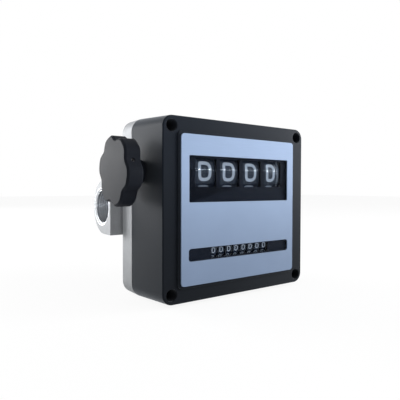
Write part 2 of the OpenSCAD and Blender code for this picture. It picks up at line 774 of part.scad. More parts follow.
// Two gears on one hub: a wheel in one layer and a pinion in another
module compound(axis, wheel_x, wheel_teeth, wheel_m, phase, pinion_x, pinion_m, pinion_phase) {
    low = min(wheel_x, pinion_x);
    high = max(wheel_x, pinion_x) + gear_w;
    difference() {
        union() {
            along_x(wheel_x, axis) gear(wheel_teeth, wheel_m, gear_w, phase);
            along_x(pinion_x, axis) gear(pinion_teeth, pinion_m, gear_w, pinion_phase);
            along_x(low + gear_w / 2, axis) cylinder(r = stud_d / 2 + gear_hub_wall, h = high - low - gear_w);
        }
        along_x(low - over, axis) cylinder(r = stud_d / 2 + run_gap, h = high - low + 2 * over);
    }
}

module first_reduction_gear() color("ivory")
    compound(first_axis, layer_c, first_teeth, fine_m, first_phase, layer_b, fine_m, first_phase);
module second_reduction_gear() color("ivory")
    compound(second_axis, layer_b, second_teeth, fine_m, second_phase, layer_a, drive_m, second_phase);
module total_drive_gear() color("ivory")
    compound(branch_axis, layer_a, first_teeth, drive_m, branch_phase, layer_c, drive_m, branch_phase);
module total_idler_gear() color("ivory") difference() {
    along_x(layer_c, idler_axis) gear(idler_teeth, drive_m, gear_w, idler_phase);
    along_x(layer_c - over, idler_axis) cylinder(r = stud_d / 2 + run_gap, h = gear_w + 2 * over);
}

stud_end = 0.3;
studs = [[first_axis, layer_b], [second_axis, layer_a], [branch_axis, layer_a], [idler_axis, layer_c]];
module gear_studs() color("gainsboro")
    for (s = studs) along_x(s[1] - stud_end, s[0])
    cylinder(r = stud_d / 2, h = right_x + plate_t - s[1] + stud_end);

// Counter frame

// Side plate at x with its two screw tabs on the side given by out, -1 or 1
module side_plate(x, out, holes) difference() {
    union() {
        translate([x, plate_front, plate_bottom])
            cube([plate_t, floor_y - plate_front, plate_top - plate_bottom]);
        for (z = tab_zs) translate([out < 0 ? x - tab_w : x, floor_y - plate_t, z - tab_w / 2])
            cube([tab_w + plate_t, plate_t, tab_w]);
    }
    for (h = holes) along_x(x - over, h[0]) cylinder(r = h[1], h = plate_t + 2 * over);
    for (z = tab_zs) along_y(floor_y - plate_t - over, [tab_xs[out < 0 ? 0 : 1], z])
        cylinder(r = small_screw_d / 2 + seat_gap, h = plate_t + 2 * over);
}

common_holes = concat(
    [for (t = tie_axes) [t, tie_d / 2]],
    [[counter_axis, shaft_d / 2 + run_gap], [carry_axis, carry_shaft_d / 2],
     [total_axis, total_shaft_d / 2 + run_gap], [small_carry_axis, small_carry_shaft_d / 2]]);
module side_plate_left() color("lightsteelblue") side_plate(left_x, -1, common_holes);
module side_plate_right() color("lightsteelblue") side_plate(right_x, 1, concat(common_holes,
    [[cross_axis, cross_d / 2 + run_gap]], [for (s = studs) [s[0], stud_d / 2]]));

plate_span = right_x + plate_t - left_x;
module tie_bars() color("gainsboro") for (t = tie_axes) along_x(left_x, t)
    cylinder(r = tie_d / 2, h = plate_span);
module pinion_shaft() color("gainsboro") along_x(left_x, carry_axis)
    cylinder(r = carry_shaft_d / 2, h = plate_span);
module total_pinion_shaft() color("gainsboro")
    along_x(left_x, small_carry_axis) cylinder(r = small_carry_shaft_d / 2, h = plate_span);

small_head_share = 1.8;
small_head_h_share = 0.8;
module small_screw()
    socket_screw(small_screw_d, small_screw_d * small_head_share, small_screw_d * small_head_h_share,
        tab_screw_length);
module frame_screws() color("dimgray") {
    for (z = tab_zs, x = tab_xs) along_y(floor_y - plate_t, [x, z]) small_screw();
    along_y(floor_y - plate_t, [bracket_screw_x, mid_z]) small_screw();
}

// Digit wheels

// Reset groove along the shaft, and the knob's face over the shaft's end as a share of its thickness
groove_w = 1.2;
knob_face_share = 0.3;
shaft_start = -knob_x + knob_t * knob_face_share;
module main_shaft() color("gainsboro") difference() {
    along_x(shaft_start, counter_axis) cylinder(r = shaft_d / 2, h = right_x + plate_t - shaft_start);
    translate([-stack_x, counter_axis[0] - groove_w / 2, counter_axis[1] + shaft_d / 2 - groove_w / 2])
        cube([2 * stack_x, groove_w, groove_w]);
}

// Drum of a digit wheel about its middle, with a web and a hub
module wheel_drum(r, w, hub_r, hub_w, bore, rim) {
    side = w / 2;
    web = w / 8;
    edge = rim / 5;
    rotate_extrude() polygon([
        [bore, -hub_w / 2], [hub_r, -hub_w / 2], [hub_r, -web], [r - rim, -web], [r - rim, -side],
        [r - edge, -side], [r, -side + edge], [r, side - edge], [r - edge, side], [r - rim, side],
        [r - rim, web], [hub_r, web], [hub_r, hub_w / 2], [bore, hub_w / 2]]);
}

// Ring gear that a transfer pinion drives, and the two-tooth carry sector that drives a pinion.
// Both are discs against the drum's side face.
module ring_gear(m, t, bore, phase) difference() {
    gear(ring_teeth, m, t, phase);
    translate([0, 0, -over]) cylinder(r = bore, h = t + 2 * over);
}
sector_clear_share = 1;
sector_w_share = 5.8;
module carry_sector(m, t, bore, middle) difference() {
    reach_r = ring_teeth * m / 2 - sector_clear_share * m;
    union() {
        cylinder(r = reach_r, h = t);
        intersection() {
            gear(ring_teeth, m, t, middle + 180 / ring_teeth);
            rotate([0, 0, middle]) translate([0, -m * sector_w_share / 2, -over])
                cube([ring_teeth * m, m * sector_w_share, t + 2 * over]);
        }
    }
    translate([0, 0, -over]) cylinder(r = bore, h = t + 2 * over);
}

rim_t = 2.5;
hub_wall = 3;
hub_r = shaft_d / 2 + hub_wall;
ring_share = 0.42;
ring_t = (wheel_pitch - wheel_w) * ring_share;
sector_turn = 240;

// Digit wheel of the given rank, counted from the units wheel at the right
module digit_wheel(rank) {
    x = ((digit_count - 1) / 2 - rank) * wheel_pitch;
    bore = shaft_d / 2 + run_gap;
    along_x(x, counter_axis) wheel_drum(wheel_r, wheel_w, hub_r, wheel_pitch - move_gap, bore, rim_t);
    if (rank > 0) along_x(x + wheel_w / 2, counter_axis) ring_gear(carry_m, ring_t, hub_r - over, ring_phase);
    if (rank < digit_count - 1)
        along_x(x - wheel_w / 2 - ring_t, counter_axis)
            carry_sector(carry_m, ring_t, hub_r - over, sector_turn);
    if (rank == 0) along_x(layer_a, counter_axis) difference() {
        gear(counter_teeth, drive_m, gear_w, counter_phase);
        translate([0, 0, -over]) cylinder(r = bore, h = gear_w + 2 * over);
    }
    if (rank == 0) along_x(x + wheel_w / 2 - over, counter_axis)
        tube(wheel_r - rim_t / 2, layer_a - x - wheel_w / 2 + 2 * over, wheel_r - rim_t);
}
module units_wheel() color("dimgray") digit_wheel(0);
module tens_wheel() color("dimgray") digit_wheel(1);
module hundreds_wheel() color("dimgray") digit_wheel(2);
module thousands_wheel() color("dimgray") digit_wheel(3);

// Transfer pinion between the wheel of the given rank and the one before it
pinion_share = 0.8;
pinion_w = (wheel_pitch - wheel_w) * pinion_share;
module transfer_pinion(rank) {
    x = ((digit_count - 1) / 2 - rank + 0.5) * wheel_pitch - pinion_w / 2;
    along_x(x, carry_axis) difference() {
        gear(carry_teeth, carry_m, pinion_w, carry_phase);
        translate([0, 0, -over]) cylinder(r = carry_shaft_d / 2 + run_gap, h = pinion_w + 2 * over);
    }
}
module tens_pinion() color("ivory") transfer_pinion(1);
module hundreds_pinion() color("ivory") transfer_pinion(2);
module thousands_pinion() color("ivory") transfer_pinion(3);

// Totaliser

module total_shaft() color("gainsboro") {
    along_x(left_x, total_axis) cylinder(r = total_shaft_d / 2, h = plate_span);
    along_x(layer_c, total_axis) gear(total_teeth, drive_m, gear_w, total_phase);
}

total_hub_wall = 1.5;
total_hub_r = total_shaft_d / 2 + total_hub_wall;
total_ring_share = 0.4;
total_ring_t = (total_pitch - total_w) * total_ring_share;
module total_wheel(rank) {
    x = ((total_count - 1) / 2 - rank) * total_pitch;
    bore = total_shaft_d / 2 + (rank == 0 ? 0 : run_gap);
    along_x(x, total_axis)
        wheel_drum(total_r, total_w, total_hub_r, total_pitch - move_gap / 2, bore, rim_t / 2);
    if (rank > 0) along_x(x + total_w / 2, total_axis)
        ring_gear(small_carry_m, total_ring_t, total_hub_r - over, ring_phase);
    if (rank < total_count - 1) along_x(x - total_w / 2 - total_ring_t, total_axis)
        carry_sector(small_carry_m, total_ring_t, total_hub_r - over, sector_turn);
}
module total_wheel_1() color("dimgray") total_wheel(0);
module total_wheel_2() color("dimgray") total_wheel(1);
module total_wheel_3() color("dimgray") total_wheel(2);
module total_wheel_4() color("dimgray") total_wheel(3);
module total_wheel_5() color("dimgray") total_wheel(4);
module total_wheel_6() color("dimgray") total_wheel(5);
module total_wheel_7() color("dimgray") total_wheel(6);
module total_wheel_8() color("dimgray") total_wheel(7);

small_pinion_share = 0.7;
small_pinion_w = (total_pitch - total_w) * small_pinion_share;
module total_pinions() color("ivory") for (rank = [1:total_count - 1]) {
    x = ((total_count - 1) / 2 - rank + 0.5) * total_pitch - small_pinion_w / 2;
    along_x(x, small_carry_axis) difference() {
        gear(carry_teeth, small_carry_m, small_pinion_w, small_carry_phase);
        translate([0, 0, -over])
            cylinder(r = small_carry_shaft_d / 2 + run_gap, h = small_pinion_w + 2 * over);
    }
}

// Front

relief_gap = 1.2;
relief_step = 1;
well_floor = 9;
boss_in = 9;
boss_wall = 3;
screw_gap = 0.3;
// Both windows' outlines drawn in by a margin, from depth y with thickness t
module window_plates(margin, y, t) {
    front_plate(window_w - 2 * margin, window_h - 2 * margin, window_r, y, t, mid_z + window_z);
    front_plate(total_window_w - 2 * margin, total_window_h - 2 * margin, total_window_r,
        y, t, mid_z - total_window_z);
}

module cover() color("dimgray") difference() {
    union() {
        difference() {
            block(concat(round_edge(corner_r, front_y, edge_r), [[back_r, part_y]]));
            difference() {
                block([[corner_r - cover_wall, inner_front_y], [back_r - cover_wall, part_y + over]]);
                at_wells() translate([0, 0, front_y]) cylinder(r = column_r, h = cover_d);
                along_x(-cover_side_x, counter_axis) cylinder(r = bush_r + boss_wall, h = boss_in);
            }
        }
        front_plate(label_w + 2 * pad_margin, label_h + 2 * pad_margin, label_r + pad_margin / 2,
            pad_y, pad_t + over, mid_z);
    }
    // Windows: a seat for each lens and mask, and room for the wheels behind it
    window_plates(0, pad_y - over, seat_y - pad_y + over);
    wheel_room(counter_axis, wheel_r, layer_a + gear_w + relief_gap, mid_z + window_z, window_h);
    wheel_room(total_axis, total_r, total_stack_x + relief_gap, mid_z - total_window_z, total_window_h);
    // Screw wells and their clearance holes
    at_wells() {
        translate([0, 0, front_y - over]) cylinder(r = well_d / 2, h = cover_d - well_floor + over);
        translate([0, 0, front_y]) cylinder(r = screw_d / 2 + screw_gap, h = cover_d + over);
    }
    // Bore for the reset shaft's bush
    along_x(-cover_side_x - boss_in, counter_axis) cylinder(r = bush_r, h = boss_in * 2 + over);
}

// Clearance in the cover's front wall for wheels of radius r that reach to x = half
module wheel_room(axis, r, half, z, h) {
    depth = axis[0] - inner_front_y;
    rise = sqrt(max(0, r * r - depth * depth)) + relief_gap;
    translate([-half, seat_y + wheel_front_gap / 2, axis[1] - rise])
        cube([2 * half, inner_front_y - seat_y + over, 2 * rise]);
    low = max(axis[1] - rise, z - h / 2 + relief_step);
    high = min(axis[1] + rise, z + h / 2 - relief_step);
    translate([-half, seat_y - over, low]) cube([2 * half, wheel_front_gap + over, high - low]);
}

gasket_inset = 1;
module cover_gasket() color("black") difference() {
    block([[back_r - gasket_inset, part_y], [back_r - gasket_inset, flange_front]]);
    difference() {
        block([[back_r - flange_wall + gasket_inset, part_y - over],
               [back_r - flange_wall + gasket_inset, flange_front + over]]);
        at_wells() translate([0, 0, part_y - over])
            cylinder(r = post_r - gasket_inset, h = gasket_t + 2 * over);
    }
    at_wells() translate([0, 0, part_y - over])
        cylinder(r = screw_d / 2 + screw_gap, h = gasket_t + 2 * over);
}

screw_end_gap = 2;
module cover_screws() color("dimgray") at_wells() translate([0, 0, part_y - well_floor])
    socket_screw(screw_d, head_d, head_h, well_floor + gasket_t + post_depth - screw_end_gap);

module label_plate() color("lightsteelblue") difference() {
    front_plate(label_w, label_h, label_r, label_y, label_t, mid_z);
    window_plates(0, label_y - over, label_t + 2 * over);
}

module window_lenses() color("black", 0.3) window_plates(seat_gap, lens_y, lens_t);

// Printed masks behind the lenses, with one opening for each digit wheel and one for the totaliser
digit_open_share = 0.61333;
digit_open_h = window_h * digit_open_share;
digit_open_drop_share = 0.0348;
digit_open_z = counter_axis[1] - digit_open_h / 2 - digit_open_h * digit_open_drop_share;
digit_open_w_share = 0.9545;
digit_open_w = wheel_w * digit_open_w_share;
total_open_share = 0.8155;
total_open_h = total_window_h * total_open_share;
module digit_masks() color("black") difference() {
    window_plates(seat_gap, mask_y, mask_t);
    for (i = [0:digit_count - 1])
        translate([((digit_count - 1) / 2 - i) * wheel_pitch - digit_open_w / 2, mask_y - over, digit_open_z])
            cube([digit_open_w, mask_t + 2 * over, digit_open_h]);
    translate([-total_stack_x, mask_y - over, mid_z - total_window_z - total_open_h / 2])
        cube([2 * total_stack_x, mask_t + 2 * over, total_open_h]);
}

// Reset knob

bush_in = 0.6;
module knob_bush() color("black")
    along_x(-cover_side_x + bush_in, counter_axis) tube(bush_r, boss_in, shaft_d / 2 + run_gap);

knob_seal_t = 2;
knob_seal_lip = 1.5;
module knob_seal() color("black") along_x(-cover_side_x + boss_in + bush_in, counter_axis)
    tube(bush_r + knob_seal_lip, knob_seal_t, shaft_d / 2 + run_gap);

// Outline of the knob, with broad lobes and narrow valleys between them
lobe_turn = 12;
valley_sharpness = 2;
facet_turn = 3;
module knob_2d() {
    function dip(a) = pow((1 - cos(lobes * (a - lobe_turn))) / 2, valley_sharpness);
    polygon([for (a = [facet_turn / 2:facet_turn:360]) (knob_r - valley_d * dip(a)) * [cos(a), sin(a)]]);
}
knob_edge = 1.5;
// The knob's disc, whose edges are bevelled along its own outline
module knob_disc() {
    bevel_scale = 1 - knob_edge / knob_r;
    for (end = [0, 1]) translate([0, 0, knob_t / 2]) mirror([0, 0, end]) {
        linear_extrude(knob_t / 2 - knob_edge) knob_2d();
        translate([0, 0, knob_t / 2 - knob_edge]) linear_extrude(knob_edge, scale = bevel_scale) knob_2d();
    }
}
stem_gap = 0.9;
grub_x = -stem_x - knob_t / 2;
grub_turn = 180 - lobe_turn - (floor(lobes / 2) - 0.5) * 360 / lobes;
// Keeps the seam of the grub screw's hole off the valley's own line
seam_turn = 40;
// Children stand from radius r towards the shaft, in the valley nearest to the front
module along_grub(r) translate([grub_x, counter_axis[0], counter_axis[1]]) rotate([-grub_turn, 0, 0])
    translate([0, -r, 0]) rotate([-90, 0, 0]) children();
module reset_knob() color("dimgray") difference() {
    union() {
        along_x(-knob_x, counter_axis) knob_disc();
        along_x(-stem_x - over, counter_axis) cylinder(r = stem_d / 2, h = stem_len - stem_gap + over);
    }
    along_x(shaft_start, counter_axis) cylinder(r = shaft_d / 2, h = knob_t * 2);
    along_grub(knob_r + over) rotate([0, 0, seam_turn])
        cylinder(r = small_screw_d / 2, h = knob_r - shaft_d / 2 + over);
}

// Grub screw, whose head lies this far below the valley
grub_sink = 0.9;
grub_head_r = knob_r - valley_d - grub_sink;
grub_key_share = 0.28;
module knob_screw() color("dimgray") along_grub(grub_head_r)
    difference() {
        cylinder(r = small_screw_d / 2, h = grub_head_r - shaft_d / 2);
        translate([0, 0, -over])
            cylinder(r = small_screw_d * grub_key_share, h = small_screw_d + over, $fn = 6);
    }

meter_body();
rear_cover();
rear_cover_seal();
rear_cover_screws();
inlet_strainer();
chamber_front();
chamber_rear();
septum_plate();
nutating_disc();
disc_pin();
drive_crank();
crank_bevel();
shaft_bush();
shaft_seal();
cross_shaft();
cross_bevel();
cross_shaft_bracket();
first_reduction_gear();
second_reduction_gear();
gear_studs();
side_plate_left();
side_plate_right();
tie_bars();
frame_screws();
main_shaft();
units_wheel();
tens_wheel();
hundreds_wheel();
thousands_wheel();
tens_pinion();
hundreds_pinion();
thousands_pinion();
pinion_shaft();
total_drive_gear();
total_idler_gear();
total_shaft();
total_wheel_1();
total_wheel_2();
total_wheel_3();
total_wheel_4();
total_wheel_5();
total_wheel_6();
total_wheel_7();
total_wheel_8();
total_pinions();
total_pinion_shaft();
cover();
cover_gasket();
cover_screws();
label_plate();
window_lenses();
digit_masks();
knob_bush();
knob_seal();
reset_knob();
knob_screw();
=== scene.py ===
"""Finishes, printed figures and studio for a mechanical flow meter."""

import json
import math

import bmesh
import bpy
from bpy.props import FloatProperty, FloatVectorProperty, PointerProperty
from mathutils import Matrix, Vector


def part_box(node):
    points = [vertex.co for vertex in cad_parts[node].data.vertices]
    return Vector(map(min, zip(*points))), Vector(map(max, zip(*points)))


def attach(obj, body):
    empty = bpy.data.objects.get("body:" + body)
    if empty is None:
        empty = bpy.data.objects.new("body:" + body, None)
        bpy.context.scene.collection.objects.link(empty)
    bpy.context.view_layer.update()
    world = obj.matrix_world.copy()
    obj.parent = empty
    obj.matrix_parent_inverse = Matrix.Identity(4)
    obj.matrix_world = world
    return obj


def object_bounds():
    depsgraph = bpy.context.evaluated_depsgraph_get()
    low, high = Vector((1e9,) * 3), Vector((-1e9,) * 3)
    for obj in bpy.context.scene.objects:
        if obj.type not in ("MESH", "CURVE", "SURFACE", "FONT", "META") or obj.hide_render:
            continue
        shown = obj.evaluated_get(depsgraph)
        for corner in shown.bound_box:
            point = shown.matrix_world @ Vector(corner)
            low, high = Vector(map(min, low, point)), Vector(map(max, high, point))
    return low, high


bl_info = {
    "name": "Flow Meter",
    "version": (1, 0, 0),
    "blender": (4, 5, 0),
    "location": "3D View > Sidebar > Flow Meter",
    "description": "Finishes and printed figures of a mechanical flow meter",
    "category": "Object",
}

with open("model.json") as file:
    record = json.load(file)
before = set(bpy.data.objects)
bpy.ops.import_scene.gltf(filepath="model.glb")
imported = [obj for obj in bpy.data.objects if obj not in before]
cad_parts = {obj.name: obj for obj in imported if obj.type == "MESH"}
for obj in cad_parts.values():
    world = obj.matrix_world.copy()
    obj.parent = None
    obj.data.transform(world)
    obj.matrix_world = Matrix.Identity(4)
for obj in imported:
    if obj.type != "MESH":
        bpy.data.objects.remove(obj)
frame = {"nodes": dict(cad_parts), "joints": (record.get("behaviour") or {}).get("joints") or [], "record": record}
cad_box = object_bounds()

MM = 0.001
COUNTER_RANKS = ("units", "tens", "hundreds", "thousands")
TOTAL_RANKS = tuple(f"total_{rank}" for rank in range(1, 9))

# How far round its wheel the figure 0 stands above the front.
COUNTER_LIFT, TOTAL_LIFT = math.radians(0.8), math.radians(-3)
FIGURES = 10
RING_STEPS = 240
SHORT_GRADUATION_SHARE = 0.6
# A print's foot sinks into its surface, and what crosses another print stands higher.
SUNK_SHARE, RING_RISE, LAYER_RISE = 0.5, 1.2, 0.25
SMOOTH_ANGLE = math.radians(40)

# Pipe thread of 11 turns to the inch, in ports machined up to the first radius, with an
# edge that fades out by the second.
THREAD_PITCH = 25.4 / 11 * MM
MACHINED_R, FADED_R = 17.2 * MM, 17.372 * MM
BEVEL_SAMPLES = 6

FLOOR_HALF, FLOOR_DROP = 4, 0.02 * MM
FLOOR_GLOW, FLOOR_GLOW_SHARE = 1.06, 0.85
AIM = (0, 0, 80 * MM)
# Width, height where it differs from the width, and place of each lamp, in metres.
LAMPS = {
    "key": (0.7, None, (0.35, -0.85, 0.95)),
    "side": (1.1, None, (-0.8, 1.35, 0.22)),
    "fill": (0.7, None, (1.36, -0.7, 0.36)),
    "strip": (1.3, 0.016, (0.86, -1.02, 0.31)),
}

# The camera's lens in millimetres, its shift, its place and its turns in radians.
LENS, SENSOR = 36.72, 36
SHIFT_X, SHIFT_Y = -0.0065, -0.0098
EYE = Vector((-232.7, -327.9, 95.1)) * MM
YAW, PITCH, ROLL = 0.6168, 0.0217, 0.0025


class Sizes(bpy.types.PropertyGroup):
    """Sizes of what is printed on the wheels."""

    figure_height: FloatProperty(
        name="Figure height", description="Height of a counter figure",
        default=16.4 * MM, subtype="DISTANCE", unit="LENGTH")
    figure_width: FloatProperty(
        name="Figure width", description="Width of a counter figure",
        default=13.2 * MM, subtype="DISTANCE", unit="LENGTH")
    units_width: FloatProperty(
        name="Units figure width", description="Width of a figure on the units wheel, beside its scale",
        default=11.0 * MM, subtype="DISTANCE", unit="LENGTH")
    units_shift: FloatProperty(
        name="Units figure shift", description="How far the units figures stand off their wheel's middle",
        default=-0.7 * MM, subtype="DISTANCE", unit="LENGTH")
    figure_stroke: FloatProperty(
        name="Figure stroke", description="Width of a counter figure's stroke",
        default=2.8 * MM, subtype="DISTANCE", unit="LENGTH")
    total_figure_height: FloatProperty(
        name="Total figure height", description="Height of a totaliser figure",
        default=4.8 * MM, subtype="DISTANCE", unit="LENGTH")
    total_figure_width: FloatProperty(
        name="Total figure width", description="Width of a totaliser figure",
        default=3.6 * MM, subtype="DISTANCE", unit="LENGTH")
    total_figure_stroke: FloatProperty(
        name="Total figure stroke", description="Width of a totaliser figure's stroke",
        default=0.75 * MM, subtype="DISTANCE", unit="LENGTH")
    ink_height: FloatProperty(
        name="Ink height", description="How far a print stands above its surface",
        default=0.06 * MM, subtype="DISTANCE", unit="LENGTH")
    graduation_length: FloatProperty(
        name="Graduation length", description="Length of a long graduation on the units wheel",
        default=3.6 * MM, subtype="DISTANCE", unit="LENGTH")
    graduation_width: FloatProperty(
        name="Graduation width", description="Width of a graduation on the units wheel",
        default=0.8 * MM, subtype="DISTANCE", unit="LENGTH")
    graduation_inset: FloatProperty(
        name="Graduation inset", description="From the units wheel's outer edge to its graduations",
        default=2.9 * MM, subtype="DISTANCE", unit="LENGTH")


class Colours(bpy.types.PropertyGroup):
    """Colours of the finishes that a user would change."""

    cover: FloatVectorProperty(
        name="Cover", description="Colour of the moulded cover",
        default=(0.004, 0.006, 0.010), subtype="COLOR", size=3, min=0, max=1)
    knob: FloatVectorProperty(
        name="Knob", description="Colour of the reset knob",
        default=(0.011, 0.013, 0.018), subtype="COLOR", size=3, min=0, max=1)
    plate: FloatVectorProperty(
        name="Face plate", description="Colour of the satin face plate",
        default=(0.305, 0.408, 0.596), subtype="COLOR", size=3, min=0, max=1)
    wheel: FloatVectorProperty(
        name="Wheels", description="Colour of the figure wheels",
        default=(0.011, 0.017, 0.031), subtype="COLOR", size=3, min=0, max=1)
    figure: FloatVectorProperty(
        name="Figures", description="Colour of the printed figures",
        default=(0.34, 0.39, 0.47), subtype="COLOR", size=3, min=0, max=1)
    casting: FloatVectorProperty(
        name="Casting", description="Colour of the cast body",
        default=(0.43, 0.445, 0.465), subtype="COLOR", size=3, min=0, max=1)


class Studio(bpy.types.PropertyGroup):
    """Strength of the lamps and the room."""

    key: FloatProperty(name="Key lamp", description="Power of the key lamp", default=2.1, unit="POWER")
    side: FloatProperty(name="Side lamp", description="Power of the lamp on the knob's side",
                        default=30.0, unit="POWER")
    fill: FloatProperty(name="Fill lamp", description="Power of the fill lamp", default=18.0, unit="POWER")
    strip: FloatProperty(name="Strip lamp", description="Power of the strip that glints on the figures",
                         default=2.6, unit="POWER")
    room: FloatProperty(name="Room", description="Strength of the room's light", default=0.35)


class Signal:
    """A number that varies over a surface, for use in ordinary expressions."""

    def __init__(self, finish, socket):
        self.finish, self.socket = finish, socket

    def maths(self, operation, *terms):
        made = self.finish.node("ShaderNodeMath", {"operation": operation}, dict(enumerate(terms)))
        return Signal(self.finish, made.outputs[0])

    def __add__(self, other):
        return self.maths("ADD", self, other)

    def __sub__(self, other):
        return self.maths("SUBTRACT", self, other)

    def __rsub__(self, other):
        return self.maths("SUBTRACT", other, self)

    def __mul__(self, other):
        return self.maths("MULTIPLY", self, other)

    def __pow__(self, power):
        return self.maths("POWER", self, power)

    __radd__, __rmul__ = __add__, __mul__

    def between(self, low, high):
        """Rises smoothly from 0 at low to 1 at high."""
        sockets = {"Value": self, "From Min": low, "From Max": high}
        made = self.finish.node("ShaderNodeMapRange", {"interpolation_type": "SMOOTHSTEP"}, sockets)
        return Signal(self.finish, made.outputs["Result"])


class Finish:
    """A material of one Principled shader and the nodes that vary it."""

    def __init__(self, name, colour, roughness, metallic=0.0):
        self.material = bpy.data.materials.new(name)
        self.material.use_nodes = True
        self.tree = self.material.node_tree
        self.shader = self.tree.nodes["Principled BSDF"]
        self.set("Base Color", (*colour, 1.0))
        self.set("Roughness", roughness)
        self.set("Metallic", metallic)
        self.place = self.node("ShaderNodeTexCoord").outputs["Object"]

    def node(self, kind, settings=None, sockets=None):
        made = self.tree.nodes.new(kind)
        for setting, value in (settings or {}).items():
            setattr(made, setting, value)
        for socket, value in (sockets or {}).items():
            self.feed(made.inputs[socket], value)
        return made

    def feed(self, socket, value):
        if isinstance(value, Signal):
            value = value.socket
        if isinstance(value, bpy.types.NodeSocket):
            self.tree.links.new(value, socket)
        else:
            socket.default_value = value

    def set(self, socket, value):
        self.feed(self.shader.inputs[socket], value)

    def noise(self, size, detail=3.0, stretch=(1, 1, 1)):
        """Noise from 0 to 1 whose features measure about size, drawn out by stretch."""
        scale = [1 / (size * s) for s in stretch]
        at = self.node("ShaderNodeVectorMath", {"operation": "MULTIPLY"}, {0: self.place, 1: scale})
        made = self.node("ShaderNodeTexNoise", None,
                         {"Vector": at.outputs[0], "Scale": 1.0, "Detail": detail})
        return Signal(self, made.outputs["Fac"])

    def wave(self, pitch):
        """Bands along X from 0 to 1, one to a pitch; the texture repeats each tau / 20."""
        made = self.node("ShaderNodeTexWave", {"bands_direction": "X"},
                         {"Vector": self.place, "Scale": math.tau / 20 / pitch, "Detail": 0.0})
        return Signal(self, made.outputs["Fac"])

    def axes(self):
        made = self.node("ShaderNodeSeparateXYZ", None, {0: self.place})
        return [Signal(self, socket) for socket in made.outputs]

    def blend(self, amount, low, high):
        """Colour from low to high by the amount."""
        pair = [(*c, 1.0) if isinstance(c, tuple) else c for c in (low, high)]
        made = self.node("ShaderNodeMix", {"data_type": "RGBA"}, {0: amount, 6: pair[0], 7: pair[1]})
        return made.outputs[2]

    def eased(self, radius):
        """Normal that rounds the edges by the radius."""
        return self.node("ShaderNodeBevel", {"samples": BEVEL_SAMPLES}, {"Radius": radius}).outputs[0]

    def edges(self, radius):
        """1 close to a sharp edge and 0 on the flats."""
        soft = self.eased(radius)
        flat = self.node("ShaderNodeNewGeometry").outputs["Normal"]
        dot = self.node("ShaderNodeVectorMath", {"operation": "DOT_PRODUCT"}, {0: soft, 1: flat})
        return (1 - Signal(self, dot.outputs["Value"])).between(0.02, 0.22)

    def relief(self, height, depth, radius=0.0):
        """Raises the surface by depth where the height is 1, over edges eased by a radius."""
        sockets = {"Height": height, "Distance": depth, "Strength": 1.0}
        if radius:
            sockets["Normal"] = self.eased(radius)
        self.set("Normal", self.node("ShaderNodeBump", None, sockets).outputs[0])


def shade(colour, share):
    """Colour made darker or lighter by the share."""
    return tuple(min(1.0, channel * share) for channel in colour)


def port_centre():
    """Point on the axis that the two threaded ports share."""
    return Vector(next(m for m in frame["record"]["mounts"] if m["name"] == "inlet")["pos_m"])


def cast_finish(colour):
    """Blasted casting with painted shade towards its foot, and bright machined and threaded ports with painted
    light and shade on their threads.
    """
    f = Finish("cast_aluminium", colour, 0.5)
    y, z = f.axes()[1:]
    port = port_centre()
    across = ((y - port.y) ** 2.0 + (z - port.z) ** 2.0) ** 0.5
    cut = 1 - across.between(MACHINED_R, FADED_R)
    sand, mottle = f.noise(0.45 * MM, 2), f.noise(9 * MM, 3)
    worn = f.edges(0.7 * MM)
    tone = (mottle * 0.8 + sand * 0.4).between(0.3, 0.9)
    rough = f.blend(tone, shade(colour, 0.87), shade(colour, 1.05))
    rough = f.blend(worn * 0.5, rough, shade(colour, 1.3))
    # Painted shade: below 80 mm the colour darkens, down to 35 % of the way to black at the foot.
    rough = f.blend(z.between(8 * MM, 80 * MM), f.blend(0.35, rough, (0.0, 0.0, 0.0)), rough)
    thread = f.wave(THREAD_PITCH)
    # Painted light and shade: the machined colour alternates light and dark along the thread as well as in its
    # bump; the machined colour is bright partly as bare metal and partly as a painted highlight.
    f.set("Base Color", f.blend(cut, rough, f.blend(thread, shade(colour, 1.35), shade(colour, 1.6))))
    f.set("Roughness", 0.55 - cut * 0.30 - worn * 0.12 + sand * 0.1 * (1 - cut))
    f.set("Metallic", 0.3 + cut * 0.7)
    f.relief(sand * (1 - cut) + thread * cut * 3, 0.06 * MM, 0.35 * MM)
    return f.material


def moulded_finish(name, colour, roughness, grain=0.25 * MM, depth=0.012 * MM, ease=0.3 * MM, shine=0.5,
                   gloss_colour=(1.0, 1.0, 1.0), bloom=0.0, painted_height_light=1.0):
    """Moulded plastic with a fine grain, uneven gloss, slightly rubbed edges, and painted light towards its top
    with painted shade towards its foot.
    """
    f = Finish(name, colour, roughness)
    f.set("Specular IOR Level", shine)
    f.set("Specular Tint", (*gloss_colour, 1.0))
    f.set("Sheen Weight", bloom)
    f.set("Sheen Tint", (*gloss_colour, 1.0))
    f.set("Sheen Roughness", 0.45)
    fine, broad = f.noise(grain, 2), f.noise(22 * MM, 3)
    worn = f.edges(0.5 * MM)
    # Painted light and shade: the colour grows lighter towards the top and darker towards the foot, the more so
    # the larger the last argument; the broad noise is the plastic's own uneven tone.
    height = f.axes()[2].between(10 * MM, 150 * MM)
    tone = f.blend(broad * 0.2 + height * 0.8, shade(colour, 0.9 / painted_height_light), shade(colour, 1.1 * painted_height_light))
    f.set("Base Color", f.blend(worn * 0.35, tone, shade(colour, 2.6)))
    f.set("Roughness", roughness - 0.06 + broad * 0.12 + fine * 0.06 - worn * 0.06)
    f.relief(fine, depth, ease)
    return f.material


